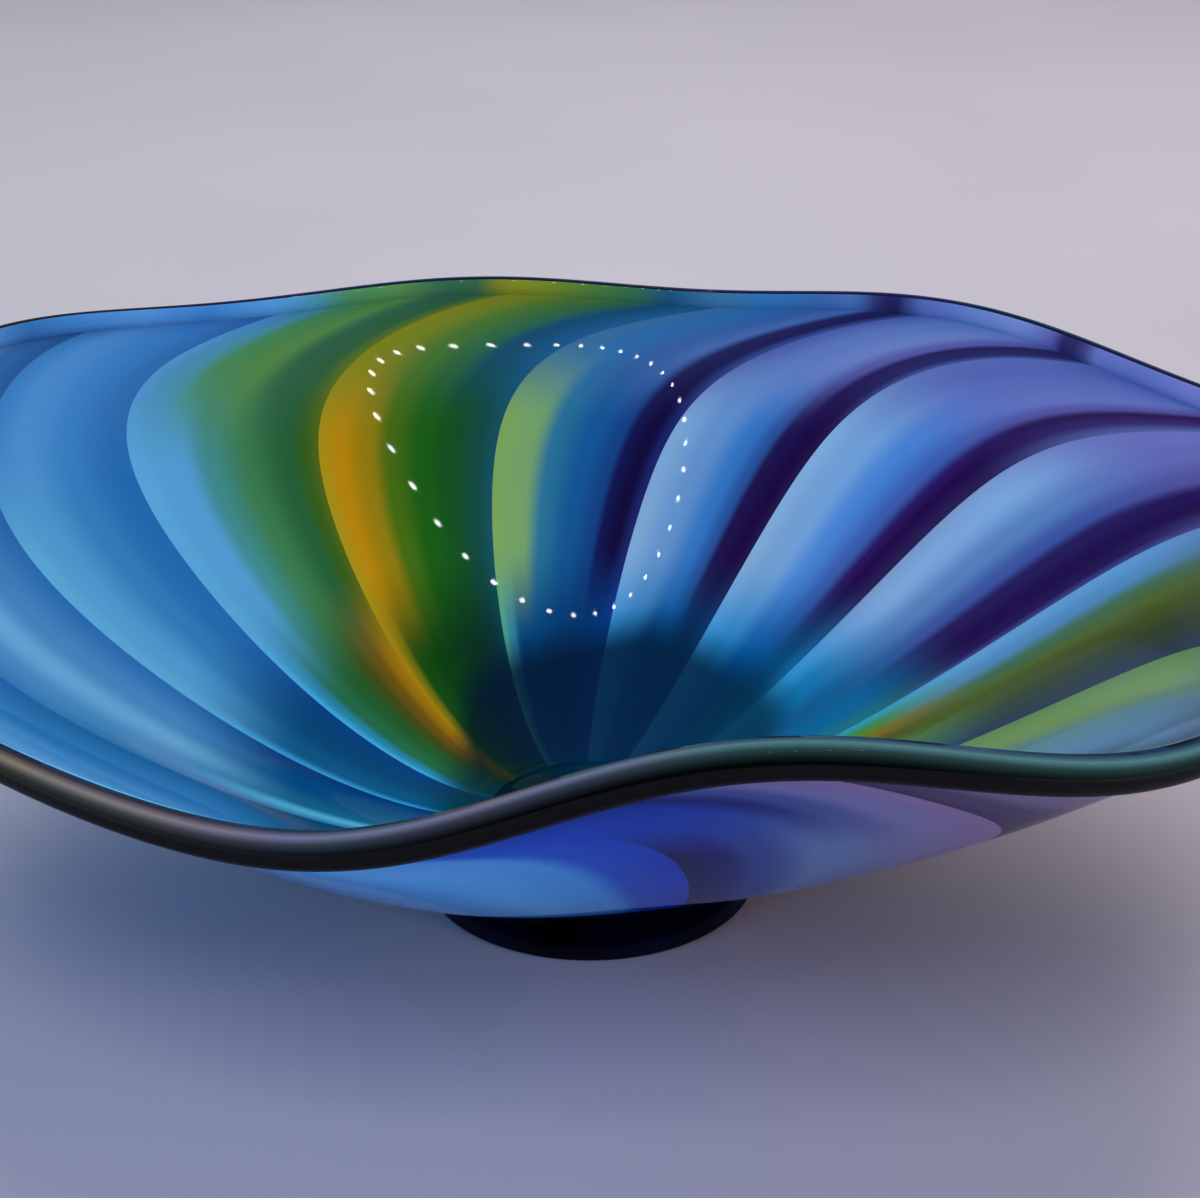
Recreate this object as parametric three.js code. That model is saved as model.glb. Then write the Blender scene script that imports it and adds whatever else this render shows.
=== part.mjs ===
// Footed art glass bowl with a swirl of fused colour bars, a wavy rolled lip and a dark lip wrap.
// Millimetres, +Z up. The origin is the centre of the foot's ground underside, at z = 0.
//
// The wall is described by two numbers. "rise" runs along the wall: -1 is the middle of the floor,
// 0 is where the floor starts to climb and 1 is the lip. "bearing" is the direction in degrees from
// +X, counter-clockwise seen from above, that a line of the swirl would have without its twist.
// "depth" is measured along the wall's normal from its middle surface, positive to the inside.

import * as THREE from 'three';

// Wall, along the middle of its thickness
const LIP_RADIUS = 200;
const LIP_HEIGHT = 133;
const FLOOR_RADIUS = 32.5;
const FLOOR_HEIGHT = 21;
const FLOOR_PULL = 52;
const LIP_PULL = 57;
const LIP_SLOPE_DEG = 51;
const FLOOR_SLOPE_DEG = 1;

// Layers of the wall, from the inside out
const CLEAR_SKIN = 1.5;
const BAR_THICKNESS = 2;
const LAYER_GAP = 0.3;
const BEAD_CLEARANCE = 1.5;

// Soft waves of the lip: how many around the lip, how far they go, and where a crest stands
const LIFT_WAVES = [
  { count: 1, size: 12, crest: 63 },
  { count: 2, size: 9, crest: -30 },
  { count: 3, size: 6.5, crest: 40 },
  { count: 4, size: 4, crest: 0 },
  { count: 5, size: 3, crest: -5 },
  { count: 6, size: 4.5, crest: -15.5 },
];
const SPREAD_WAVES = [
  { count: 2, size: 21, crest: -10 },
  { count: 3, size: 5, crest: -43 },
];
const WAVE_GROWTH = 2;

// Twist of the swirl from the floor to the lip, in degrees
const EVEN_TWIST = 16;
const LIP_TWIST = 30;
const LIP_TWIST_GROWTH = 10;

// Lip bead: the rolled lip inside and below, the dark wrap over its top and outside. The split
// between them turns from the wall's inside, 0, towards the top of the lip, 90 degrees.
const BEAD_RADIUS = 4.4;
const BEAD_SWELL = 0.9;
const BEAD_SWELL_BEARING = 275;
const BEAD_SPLIT_DEG = 30;

// Foot
const FOOT_RADIUS = 53.5;
const FOOT_EDGE_HEIGHT = 5;
const FOOT_EDGE_ROUND = 1.5;
const FOOT_WAIST_RADIUS = 29;
const FOOT_WAIST_HEIGHT = 12.5;
const FOOT_PAD_RADIUS = 31;

// How finely the surfaces are divided
const WALL_ROWS = 12;
const ROW_CROWDING = 0.6;
const BEAD_ARC_STEPS = 5;
const COLUMN_WIDTH = 9;
const FOOT_SEGMENTS = 48;
const CURVE_STEPS = 6;
const SMALL_STEP = 1e-4;
const LIP_SPAN = 0.04;

// Colour bars clockwise seen from above, from the first bearing on: the width in degrees that
// each one takes up in the swirl, and its colour. The widths add up to a full turn.
const FIRST_BEARING = 208;
const COLOUR_BARS = [
  { name: 'bar_sky_1', width: 21, colour: 0x4a94be },
  { name: 'bar_sky_2', width: 21, colour: 0x4a90cc },
  { name: 'bar_sea_green', width: 18, colour: 0x4a8560 },
  { name: 'bar_umber', width: 8, colour: 0x4a4d20 },
  { name: 'bar_amber', width: 8, colour: 0xb07818 },
  { name: 'bar_leaf_green', width: 9, colour: 0x447f3c },
  { name: 'bar_teal', width: 8, colour: 0x20607a },
  { name: 'bar_lime_1', width: 8, colour: 0x8ab04a },
  { name: 'bar_mid_blue', width: 9, colour: 0x2f78b8 },
  { name: 'bar_plum_1', width: 6.5, colour: 0x3a1a50 },
  { name: 'bar_ice_blue_1', width: 14, colour: 0x6a9fd8 },
  { name: 'bar_plum_2', width: 7, colour: 0x3a0f50 },
  { name: 'bar_ice_blue_2', width: 16.5, colour: 0x78a8d8 },
  { name: 'bar_plum_3', width: 7.5, colour: 0x3b0f50 },
  { name: 'bar_ice_blue_3', width: 17.5, colour: 0x7090c8 },
  { name: 'bar_plum_4', width: 9, colour: 0x45305a },
  { name: 'bar_ice_blue_4', width: 7, colour: 0x4a9ad8 },
  { name: 'bar_moss', width: 8, colour: 0x3f7f3f },
  { name: 'bar_slate', width: 8, colour: 0x2a4048 },
  { name: 'bar_lime_2', width: 9, colour: 0x5f9a58 },
  { name: 'bar_lilac_1', width: 8, colour: 0x7080a8 },
  { name: 'bar_grey_mauve', width: 10, colour: 0x6a6078 },
  { name: 'bar_plum_5', width: 8, colour: 0x4a3560 },
  { name: 'bar_lilac_2', width: 12, colour: 0x6a5088 },
  { name: 'bar_grey_blue', width: 11, colour: 0x5a72a8 },
  { name: 'bar_navy', width: 8, colour: 0x1a2468 },
  { name: 'bar_cobalt', width: 7, colour: 0x0a48b0 },
  { name: 'bar_sky_3', width: 20, colour: 0x5a94d6 },
  { name: 'bar_sky_4', width: 28, colour: 0x62a4d2 },
  { name: 'bar_sky_5', width: 28, colour: 0x5a98c8 },
];

const CLEAR_COLOUR = 0xdfeef2;
const POOL_COLOUR = 0x0a3a50;
const WRAP_COLOUR = 0x101216;
const FOOT_COLOUR = 0x0a0c30;
const GLASS_ROUGHNESS = 0.06;
const CLEAR_OPACITY = 0.35;

const barDepth = BAR_THICKNESS / 2;
const skinStart = barDepth + LAYER_GAP;
const skinEnd = skinStart + CLEAR_SKIN;

const floorSlope = THREE.MathUtils.degToRad(FLOOR_SLOPE_DEG);
const lipSlope = THREE.MathUtils.degToRad(LIP_SLOPE_DEG);
const wallProfile = new THREE.CubicBezierCurve(
  new THREE.Vector2(FLOOR_RADIUS, FLOOR_HEIGHT),
  new THREE.Vector2(
    FLOOR_RADIUS + FLOOR_PULL * Math.cos(floorSlope),
    FLOOR_HEIGHT + FLOOR_PULL * Math.sin(floorSlope)),
  new THREE.Vector2(
    LIP_RADIUS - LIP_PULL * Math.cos(lipSlope),
    LIP_HEIGHT - LIP_PULL * Math.sin(lipSlope)),
  new THREE.Vector2(LIP_RADIUS, LIP_HEIGHT));

// Sum of cosine waves at an angle in radians
function waves(list, angle) {
  return list.reduce((sum, wave) => {
    const crest = THREE.MathUtils.degToRad(wave.crest);
    return sum + wave.size * Math.cos(wave.count * (angle - crest));
  }, 0);
}

// Radius and height of the unwaved wall; below rise 0 it is the flat floor
function profilePoint(rise) {
  return rise <= 0
    ? new THREE.Vector2(FLOOR_RADIUS * (1 + rise), FLOOR_HEIGHT)
    : wallProfile.getPoint(rise);
}

// Point of the wall's middle surface at a plain angle in radians
function middlePoint(rise, angle) {
  const growth = Math.max(rise, 0) ** WAVE_GROWTH;
  const plain = profilePoint(rise);
  const radius = plain.x + growth * waves(SPREAD_WAVES, angle);
  const height = plain.y + growth * waves(LIFT_WAVES, angle);
  return new THREE.Vector3(radius * Math.cos(angle), radius * Math.sin(angle), height);
}

// Plain angle in radians of a line of the swirl at a rise
function swirlAngle(rise, bearing) {
  const climb = Math.max(rise, 0);
  const twist = EVEN_TWIST * climb + LIP_TWIST * climb ** LIP_TWIST_GROWTH;
  return THREE.MathUtils.degToRad(bearing - twist);
}

// Point of the middle surface on a line of the swirl, with the wall's normal to the inside there,
// and the directions around the bowl and across the line
function wallFrame(rise, bearing) {
  const low = Math.max(rise - SMALL_STEP, -1);
  const high = Math.min(rise + SMALL_STEP, 1);
  const along = middlePoint(high, swirlAngle(high, bearing))
    .sub(middlePoint(low, swirlAngle(low, bearing))).normalize();
  const angle = swirlAngle(rise, bearing);
  const off = Math.max(rise, SMALL_STEP);
  const around = middlePoint(off, angle + SMALL_STEP)
    .sub(middlePoint(off, angle - SMALL_STEP)).normalize();
  const normal = new THREE.Vector3().crossVectors(along, around).normalize();
  const across = new THREE.Vector3().crossVectors(normal, along);
  return { point: middlePoint(rise, angle), normal, around, across };
}

// Radius of the lip bead where a line of the swirl meets it
function beadRadius(bearing) {
  const swellAngle = THREE.MathUtils.degToRad(BEAD_SWELL_BEARING);
  return BEAD_RADIUS + BEAD_SWELL * Math.cos(swirlAngle(1, bearing) - swellAngle);
}

// Rises of the wall's rows on a line of the swirl, from the floor to just under the lip bead
function wallRows(bearing) {
  const angle = swirlAngle(1, bearing);
  const reach = beadRadius(bearing) + BEAD_CLEARANCE;
  const lipSpan = middlePoint(1, angle).distanceTo(middlePoint(1 - LIP_SPAN, angle));
  const end = 1 - (LIP_SPAN * reach) / lipSpan;
  return Array.from({ length: WALL_ROWS + 1 }, (_, i) => end * (i / WALL_ROWS) ** ROW_CROWDING);
}

// Bearings across one bar, from its clockwise edge to its other edge
function barColumns(from, width) {
  const count = Math.ceil(width / COLUMN_WIDTH);
  return Array.from({ length: count + 1 }, (_, i) => from - width + (width * i) / count);
}

// Colour bars with the bearings of their columns
function placedBars() {
  let bearing = FIRST_BEARING;
  return COLOUR_BARS.map((bar) => {
    const placed = { ...bar, columns: barColumns(bearing, bar.width) };
    bearing -= bar.width;
    return placed;
  });
}

// Bearings all round the bowl, at every edge and column of the bars
function ringColumns() {
  return placedBars().reverse().flatMap((bar) => bar.columns.slice(0, -1));
}

// Points of one face of a slab: rows up the wall at each bearing, drawn in at the slab's sides
function facePoints(columns, depth, side, hasFloor) {
  const last = columns.length - 1;
  return columns.flatMap((bearing, j) => {
    const rows = hasFloor ? [-1, ...wallRows(bearing)] : wallRows(bearing);
    const edge = { 0: side, [last]: -side }[j] ?? 0;
    return rows.map((rise) => {
      const frame = wallFrame(rise, bearing);
      return frame.point.addScaledVector(frame.normal, depth).addScaledVector(frame.across, edge);
    });
  });
}

// Closed body from two faces of points, the outer one first. A ring joins its last column to its
// first and has a floor, whose first row is one point in the middle.
function slab(outer, inner, columnCount, isRing) {
  const rowCount = outer.length / columnCount;
  const index = [];
  const out = (i, j) => (j % columnCount) * rowCount + i;
  const into = (i, j) => out(i, j) + outer.length;
  const addQuad = (a, b, c, d) => index.push(a, b, c, a, c, d);
  const top = rowCount - 1;
  const last = columnCount - 1;
  for (let j = 0; j < (isRing ? columnCount : last); j += 1) {
    for (let i = isRing ? 1 : 0; i < top; i += 1) {
      addQuad(into(i, j), into(i + 1, j), into(i + 1, j + 1), into(i, j + 1));
      addQuad(out(i, j), out(i, j + 1), out(i + 1, j + 1), out(i + 1, j));
    }
    addQuad(out(top, j), out(top, j + 1), into(top, j + 1), into(top, j));
    if (isRing) {
      index.push(into(0, 0), into(1, j), into(1, j + 1), out(0, 0), out(1, j + 1), out(1, j));
    } else {
      addQuad(out(0, j), into(0, j), into(0, j + 1), out(0, j + 1));
    }
  }
  for (let i = 0; i < top && !isRing; i += 1) {
    addQuad(out(i, 0), out(i + 1, 0), into(i + 1, 0), into(i, 0));
    addQuad(out(i, last), into(i, last), into(i + 1, last), out(i + 1, last));
  }
  const geometry = new THREE.BufferGeometry().setFromPoints([...outer, ...inner]);
  geometry.setIndex(index);
  return geometry;
}

// Solid of revolution about Z from a list of radius and height points
function turned(outline, segments) {
  return new THREE.LatheGeometry(outline, segments).rotateX(Math.PI / 2);
}

function glass(colour, opacity = 1) {
  return new THREE.MeshStandardMaterial({
    color: colour,
    roughness: GLASS_ROUGHNESS,
    metalness: 0,
    transparent: opacity < 1,
    opacity,
  });
}

function named(name, geometry, material) {
  geometry.computeVertexNormals();
  const mesh = new THREE.Mesh(geometry, material);
  mesh.name = name;
  return mesh;
}

// Colour bars, fused side by side and twisted into the swirl
function colourBars() {
  const group = new THREE.Group();
  placedBars().forEach(({ name, columns, colour }) => {
    const outer = facePoints(columns, -barDepth, LAYER_GAP / 2, false);
    const inner = facePoints(columns, barDepth, LAYER_GAP / 2, false);
    group.add(named(name, slab(outer, inner, columns.length, false), glass(colour)));
  });
  return group;
}

// Clear skin over the whole wall and floor, between two depths
function clearSkin(name, lowDepth, highDepth) {
  const columns = ringColumns();
  const outer = facePoints(columns, lowDepth, 0, true);
  const inner = facePoints(columns, highDepth, 0, true);
  const geometry = slab(outer, inner, columns.length, true);
  return named(name, geometry, glass(CLEAR_COLOUR, CLEAR_OPACITY));
}

// Round pool of dark glass in the floor, where the bars' inner ends meet
function centrePool() {
  const radius = FLOOR_RADIUS - 1.5 * LAYER_GAP;
  const outline = [
    new THREE.Vector2(0, -barDepth),
    new THREE.Vector2(radius, -barDepth),
    new THREE.Vector2(radius, barDepth),
    new THREE.Vector2(0, barDepth),
  ];
  const mesh = named('centre_pool', turned(outline, FOOT_SEGMENTS), glass(POOL_COLOUR));
  mesh.position.z = FLOOR_HEIGHT;
  return mesh;
}

// Half of the lip bead, swept along the lip on one side of the split: side 1 is over the top of
// the lip and side -1 is under it
function halfBead(name, side, material) {
  const ring = ringColumns();
  const columns = ring.flatMap((bearing, j) => {
    const next = ring[j + 1] ?? ring[0] + 360;
    return [bearing, (bearing + next) / 2];
  });
  const split = THREE.MathUtils.degToRad(BEAD_SPLIT_DEG);
  const turns = Array.from({ length: BEAD_ARC_STEPS + 1 }, (_, i) => (Math.PI * i) / BEAD_ARC_STEPS);
  const points = columns.flatMap((bearing) => {
    const { point, normal, around } = wallFrame(1, bearing);
    const upward = new THREE.Vector3().crossVectors(around, normal);
    const along = normal.clone().multiplyScalar(Math.cos(split))
      .addScaledVector(upward, Math.sin(split));
    const away = upward.clone().multiplyScalar(Math.cos(split))
      .addScaledVector(normal, -Math.sin(split));
    return turns.map((turn) => point.clone()
      .addScaledVector(along, side * beadRadius(bearing) * Math.cos(turn))
      .addScaledVector(away, side * (beadRadius(bearing) * Math.sin(turn) + LAYER_GAP / 2)));
  });
  const sides = turns.length;
  const index = [];
  const at = (j, i) => (j % columns.length) * sides + (i % sides);
  columns.forEach((_, j) => turns.forEach((__, i) => {
    index.push(at(j, i), at(j, i + 1), at(j + 1, i + 1));
    index.push(at(j, i), at(j + 1, i + 1), at(j + 1, i));
  }));
  const geometry = new THREE.BufferGeometry().setFromPoints(points);
  geometry.setIndex(index);
  return named(name, geometry, material);
}

// Foot: a turned disc with a ground underside, a rounded edge and a hollow waist under the bowl
function foot() {
  const top = FLOOR_HEIGHT - skinEnd - LAYER_GAP;
  const edgeTop = FOOT_EDGE_HEIGHT;
  const edge = new THREE.QuadraticBezierCurve(
    new THREE.Vector2(FOOT_RADIUS - FOOT_EDGE_ROUND, 0),
    new THREE.Vector2(FOOT_RADIUS, 0),
    new THREE.Vector2(FOOT_RADIUS, FOOT_EDGE_ROUND));
  const shoulder = new THREE.CubicBezierCurve(
    new THREE.Vector2(FOOT_RADIUS - FOOT_EDGE_ROUND, edgeTop),
    new THREE.Vector2(FOOT_RADIUS - 3 * FOOT_EDGE_ROUND, edgeTop + FOOT_EDGE_ROUND),
    new THREE.Vector2(FOOT_WAIST_RADIUS, edgeTop + FOOT_EDGE_ROUND),
    new THREE.Vector2(FOOT_WAIST_RADIUS, FOOT_WAIST_HEIGHT));
  const outline = [
    new THREE.Vector2(0, 0),
    ...edge.getPoints(CURVE_STEPS / 2),
    ...shoulder.getPoints(CURVE_STEPS),
    new THREE.Vector2(FOOT_PAD_RADIUS, top),
    new THREE.Vector2(0, top),
  ];
  return named('foot', turned(outline, FOOT_SEGMENTS), glass(FOOT_COLOUR));
}

const bowl = new THREE.Group();
bowl.add(clearSkin('inner_gather', skinStart, skinEnd));
bowl.add(colourBars());
bowl.add(centrePool());
bowl.add(clearSkin('outer_casing', -skinEnd, -skinStart));
bowl.add(halfBead('lip_roll', -1, glass(CLEAR_COLOUR, CLEAR_OPACITY)));
bowl.add(halfBead('lip_wrap', 1, glass(WRAP_COLOUR)));
bowl.add(foot());

export default bowl;
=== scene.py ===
"""Looks of a footed art glass bowl: a twisted swirl of colour bars cased in clear glass.

Lengths are metres and +Z is up. The origin is the centre of the foot's underside. A place on the
wall has a rise (0 where the floor ends, 1 at the lip, -1 in the middle of the floor), a bearing in
degrees (the direction that its line of the swirl sets out in) and a depth along the wall's normal.
"""

from __future__ import annotations

import logging
import math
from dataclasses import dataclass, field
from enum import Enum

import bpy
import numpy as np
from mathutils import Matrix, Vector

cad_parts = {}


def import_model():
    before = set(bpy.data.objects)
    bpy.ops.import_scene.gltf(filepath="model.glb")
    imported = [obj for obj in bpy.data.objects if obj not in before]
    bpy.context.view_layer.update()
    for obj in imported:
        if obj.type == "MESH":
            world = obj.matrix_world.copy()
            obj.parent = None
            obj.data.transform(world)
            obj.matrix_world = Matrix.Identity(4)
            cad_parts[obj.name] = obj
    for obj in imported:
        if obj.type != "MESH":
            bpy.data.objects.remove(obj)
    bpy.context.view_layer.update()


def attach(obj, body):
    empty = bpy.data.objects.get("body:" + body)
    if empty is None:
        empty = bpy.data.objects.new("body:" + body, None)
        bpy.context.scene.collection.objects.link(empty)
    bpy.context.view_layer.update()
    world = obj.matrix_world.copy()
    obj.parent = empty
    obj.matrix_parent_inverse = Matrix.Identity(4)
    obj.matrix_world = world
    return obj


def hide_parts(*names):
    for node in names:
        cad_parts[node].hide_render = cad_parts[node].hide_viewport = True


LOG = logging.getLogger("art_glass_bowl")
MM = 0.001
FULL_TURN = 360.0
WELD_DIGITS = 7
RAMP_STOPS = 30  # a colour ramp holds 32 at most
SKIN_GAP = 0.05 * MM  # keeps a skin's face off the bars' face, so that the two don't fight

SMOOTH = {"interpolation_type": "SMOOTHSTEP"}
BLEND = {"data_type": "RGBA"}
MULTIPLY_COLOURS = {"data_type": "RGBA", "blend_type": "MULTIPLY"}

Stops = tuple[tuple[float, str], ...]
Source = bpy.types.NodeSocket | bpy.types.Node


def linear(hex_colour: str) -> tuple[float, float, float, float]:
    """Turn an sRGB hex colour into linear red, green and blue, with an alpha of 1."""
    channels = [int(hex_colour[i : i + 2], 16) / 255 for i in (1, 3, 5)]
    red, green, blue = (
        c / 12.92 if c <= 0.04045 else ((c + 0.055) / 1.055) ** 2.4 for c in channels
    )
    return red, green, blue, 1.0


# --------------------------------------------------------------------------------------------
# Shape
# --------------------------------------------------------------------------------------------


@dataclass(frozen=True)
class Wave:
    """One cosine wave around the lip.

    Args:
        count: How many crests it has around the lip.
        size: How far a crest goes, in metres.
        crest: Where a crest stands, in degrees.
    """

    count: int
    size: float
    crest: float

    def at(self, angle: np.ndarray) -> np.ndarray:
        """Height of the wave at an angle in radians."""
        return self.size * np.cos(self.count * (angle - math.radians(self.crest)))


@dataclass(frozen=True)
class BowlForm:
    """The wall's middle surface and the swirl that runs over it.

    Args:
        lip_radius: Mean radius of the lip.
        lip_height: Mean height of the lip.
        floor_radius: Radius of the flat floor.
        floor_height: Height of the floor.
        floor_pull: How far the wall keeps to its slope as it leaves the floor.
        floor_slope: That slope, in radians.
        lip_pull: How far the wall keeps to its slope as it reaches the lip.
        lip_slope: That slope, in radians.
        wave_growth: Power of the rise that the waves grow by.
        even_twist: Degrees that the swirl leans evenly from floor to lip.
        lip_twist: Degrees that it leans on near the lip.
        lip_twist_growth: Power of the rise that this lean grows by.
        lift: Waves of the lip's height.
        spread: Waves of the lip's radius.
        step: Small rise or angle over which a slope is measured.
    """

    lip_radius: float = 200 * MM
    lip_height: float = 133 * MM
    floor_radius: float = 32.5 * MM
    floor_height: float = 21 * MM
    floor_pull: float = 52 * MM
    floor_slope: float = math.radians(1)
    lip_pull: float = 57 * MM
    lip_slope: float = math.radians(51)
    wave_growth: float = 2
    even_twist: float = 16
    lip_twist: float = 30
    lip_twist_growth: float = 10
    lift: tuple[Wave, ...] = (
        Wave(1, 12 * MM, 63),
        Wave(2, 9 * MM, -30),
        Wave(3, 6.5 * MM, 40),
        Wave(4, 4 * MM, 0),
        Wave(5, 3 * MM, -5),
        Wave(6, 4.5 * MM, -15.5),
    )
    spread: tuple[Wave, ...] = (Wave(2, 21 * MM, -10), Wave(3, 5 * MM, -43))
    step: float = 1e-4

    def profile(self, rise: np.ndarray) -> np.ndarray:
        """Radius and height before the waves: a cubic Bezier curve above a flat floor.

        Args:
            rise: Places along the wall.

        Returns:
            An array with one more axis, of radius and height.
        """
        start = np.array([self.floor_radius, self.floor_height])
        end = np.array([self.lip_radius, self.lip_height])
        leave = np.array([math.cos(self.floor_slope), math.sin(self.floor_slope)])
        arrive = np.array([math.cos(self.lip_slope), math.sin(self.lip_slope)])
        t = np.clip(rise, 0, None)[..., None]
        wall = (
            (1 - t) ** 3 * start
            + 3 * t * (1 - t) ** 2 * (start + self.floor_pull * leave)
            + 3 * t**2 * (1 - t) * (end - self.lip_pull * arrive)
            + t**3 * end
        )
        floor = np.clip(rise, None, 0)[..., None] * np.array([self.floor_radius, 0])
        return wall + floor

    def plain(self, rise: np.ndarray, angle: np.ndarray) -> np.ndarray:
        """Points of the middle surface: the turned profile, moved by waves that grow up the wall.

        Args:
            rise: Places along the wall.
            angle: Angles from +X in radians.

        Returns:
            An array of points with the inputs' shape and a last axis of 3.
        """
        flat = self.profile(rise)
        growth = np.clip(rise, 0, None) ** self.wave_growth
        radius = flat[..., 0] + growth * sum(w.at(angle) for w in self.spread)
        height = flat[..., 1] + growth * sum(w.at(angle) for w in self.lift)
        return np.stack([radius * np.cos(angle), radius * np.sin(angle), height], -1)

    def angle(self, rise: np.ndarray, bearing: np.ndarray) -> np.ndarray:
        """Angle in radians of a line of the swirl: its bearing less a twist that grows upwards."""
        t = np.clip(rise, 0, None)
        return np.radians(bearing - self.even_twist * t - self.lip_twist * t**self.lip_twist_growth)

    def normal(self, rise: np.ndarray, angle: np.ndarray) -> np.ndarray:
        """Unit normals to the inside: slope up the wall crossed with the way around it."""
        low, high = np.clip(rise - self.step, -1, 1), np.clip(rise + self.step, -1, 1)
        upward = self.plain(high, angle) - self.plain(low, angle)
        off_centre = np.clip(rise, self.step, 1)
        around = self.plain(off_centre, angle + self.step) - self.plain(off_centre, angle - self.step)
        out = np.cross(upward, around)
        return out / np.linalg.norm(out, axis=-1, keepdims=True)


@dataclass
class Piece:
    """A mesh in the making: points, faces, one UV pair per point, and point normals."""

    name: str
    points: np.ndarray
    faces: np.ndarray
    uv: np.ndarray
    normals: np.ndarray | None = None

    def build(self, material: bpy.types.Material, slot: str, *nodes: str) -> bpy.types.Object:
        """Make the Blender object, and put it in place of its CAD nodes.

        Args:
            material: The glass that it is made of.
            slot: The record's material slot; not used.
            nodes: The CAD nodes that it stands for.

        Returns:
            The finished object, riding on the bowl.
        """
        _, kept, welded = np.unique(
            self.points.round(WELD_DIGITS), axis=0, return_index=True, return_inverse=True
        )
        faces = [list(dict.fromkeys(face)) for face in welded.ravel()[self.faces].tolist()]
        mesh = bpy.data.meshes.new(self.name)
        mesh.from_pydata(self.points[kept].tolist(), [], [face for face in faces if len(face) > 2])
        mesh.uv_layers.new(name="swirl").data.foreach_set("uv", self.corner_uv(mesh, kept))
        mesh.materials.append(material)
        mesh.shade_smooth()
        if self.normals is not None:
            mesh.normals_split_custom_set_from_vertices(self.normals[kept].tolist())
        piece = bpy.data.objects.new(self.name, mesh)
        bpy.context.scene.collection.objects.link(piece)
        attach(piece, "root")
        if nodes:
            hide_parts(*nodes)
        return piece

    def corner_uv(self, mesh: bpy.types.Mesh, kept: np.ndarray) -> np.ndarray:
        """UV of every face corner, carried past a full turn on the faces that close a ring.

        Args:
            mesh: The mesh that the corners belong to.
            kept: Index of the piece's own point for each of the mesh's points.

        Returns:
            A flat array of two numbers per corner.
        """
        corners = np.empty(len(mesh.loops), np.int32)
        starts = np.empty(len(mesh.polygons), np.int32)
        mesh.loops.foreach_get("vertex_index", corners)
        mesh.polygons.foreach_get("loop_start", starts)
        uv = self.uv[kept][corners].astype(np.float32)
        highest = np.maximum.reduceat(uv[:, 0], starts)
        face = np.repeat(np.arange(len(starts)), np.diff(np.append(starts, len(corners))))
        uv[:, 0] += highest[face] - uv[:, 0] > 0.5
        return uv.ravel()


def grid_faces(rows: int, columns: int, start: int = 0, closed: bool = False) -> np.ndarray:
    """Quads of a grid whose points run column by column, facing along rows crossed with columns.

    Args:
        rows: Points in one column.
        columns: How many columns there are.
        start: Index of the first point.
        closed: Whether the last column joins the first.

    Returns:
        An array of four point indices per quad.
    """
    j, i = np.meshgrid(np.arange(columns if closed else columns - 1), np.arange(rows - 1), indexing="ij")
    here, right = j * rows + i, (j + 1) % columns * rows + i
    return start + np.stack([here, here + 1, right + 1, right], -1).reshape(-1, 4)


def slab(name: str, form: BowlForm, rise: np.ndarray, bearing: np.ndarray, low: float, high: float,
         closed: bool = False) -> Piece:
    """Closed sheet of glass between two depths over a grid of rises and bearings.

    Args:
        name: Name of the piece.
        form: The bowl's shape.
        rise: Rises of the rows.
        bearing: Bearings of the columns, in rising order.
        low: Depth of the outer face.
        high: Depth of the inner face.
        closed: Whether it goes all the way round.

    Returns:
        The piece, with normals of the smooth wall, so that neighbours shade as one surface.
    """
    columns, rows = len(bearing), len(rise)
    grid_bearing, grid_rise = np.meshgrid(bearing, rise, indexing="ij")
    angle = form.angle(grid_rise, grid_bearing)
    middle, normal = form.plain(grid_rise, angle), form.normal(grid_rise, angle)
    outer, inner = (middle + depth * normal for depth in (low, high))
    count = rows * columns
    into = grid_faces(rows, columns, count, closed)
    out = grid_faces(rows, columns, 0, closed)[:, ::-1]
    first = np.arange(columns) * rows
    ahead = np.roll(first, -1)
    if not closed:
        first, ahead = first[:-1], ahead[:-1]
    top = np.stack([first, ahead, ahead + count, first + count], -1) + rows - 1
    foot = np.stack([first, first + count, ahead + count, ahead], -1)
    rims = [top, foot]
    if not closed:
        side = np.arange(rows - 1)
        far = side + count - rows
        rims.append(np.stack([side, side + 1, side + 1 + count, side + count], -1))
        rims.append(np.stack([far, far + count, far + 1 + count, far + 1], -1))
    uv = np.stack([grid_bearing / FULL_TURN, grid_rise], -1).reshape(-1, 2)
    return Piece(
        name,
        np.concatenate([outer, inner]).reshape(-1, 3),
        np.concatenate([into, out, *rims]),
        np.concatenate([uv, uv]),
        np.concatenate([-normal, normal]).reshape(-1, 3),
    )


def turned(name: str, outline: np.ndarray, segments: int) -> Piece:
    """Solid of revolution about Z, from an outline whose two ends lie on the axis.

    Args:
        name: Name of the piece.
        outline: Radius and height of each point, from the bottom up.
        segments: Steps around the axis.

    Returns:
        The piece, with one point at each pole.
    """
    turn = np.linspace(0, 2 * np.pi, segments, endpoint=False)
    radius, angle = np.meshgrid(outline[:, 0], turn)
    height = np.broadcast_to(outline[:, 1], radius.shape)
    points = np.stack([radius * np.cos(angle), radius * np.sin(angle), height], -1).reshape(-1, 3)
    uv = np.stack([angle / (2 * np.pi), radius], -1).reshape(-1, 2)
    return Piece(name, points, grid_faces(len(outline), segments, 0, True)[:, ::-1], uv)


# --------------------------------------------------------------------------------------------
# Glass
# --------------------------------------------------------------------------------------------


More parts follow.
